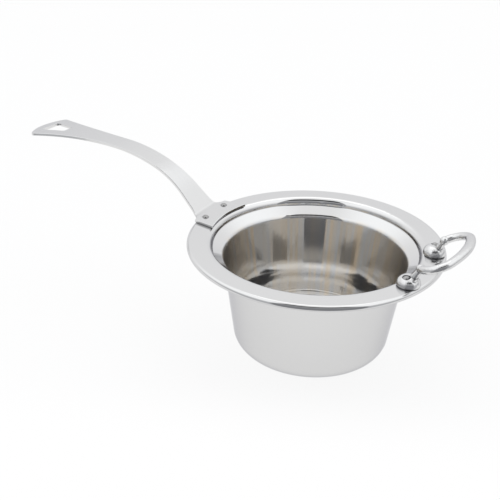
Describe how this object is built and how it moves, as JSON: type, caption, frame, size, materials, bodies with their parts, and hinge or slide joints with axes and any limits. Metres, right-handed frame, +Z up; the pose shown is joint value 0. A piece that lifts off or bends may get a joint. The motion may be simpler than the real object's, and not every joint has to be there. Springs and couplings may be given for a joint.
{
  "type": "long-handled buffet pan",
  "caption": "Deep round steel pan with a stepped rim and wide flat flange, a long cranked strap handle and a small cast loop handle, for holding soup on a buffet.",
  "frame": {"origin": "middle of the flat base, on the axis of the bowl", "axes": "+Z up along the bowl's axis, -X along the long handle, +X towards the loop handle"},
  "size_m": [0.5536, 0.28, 0.1901],
  "materials": {
    "pan_steel": "mirror polished inside and out, light wear in the bowl",
    "strap_steel": "polished sheet with softly rounded edges",
    "cast_steel": "polished casting",
    "rivet_steel": "polished, slightly duller than the handles"
  },
  "bodies": {
    "root": {"pan_body": "pan_steel", "long_handle": "strap_steel", "side_handle": "cast_steel", "long_handle_rivet_left": "rivet_steel", "long_handle_rivet_right": "rivet_steel", "side_handle_rivet_left": "rivet_steel", "side_handle_rivet_right": "rivet_steel"}
  },
  "joints": []
}
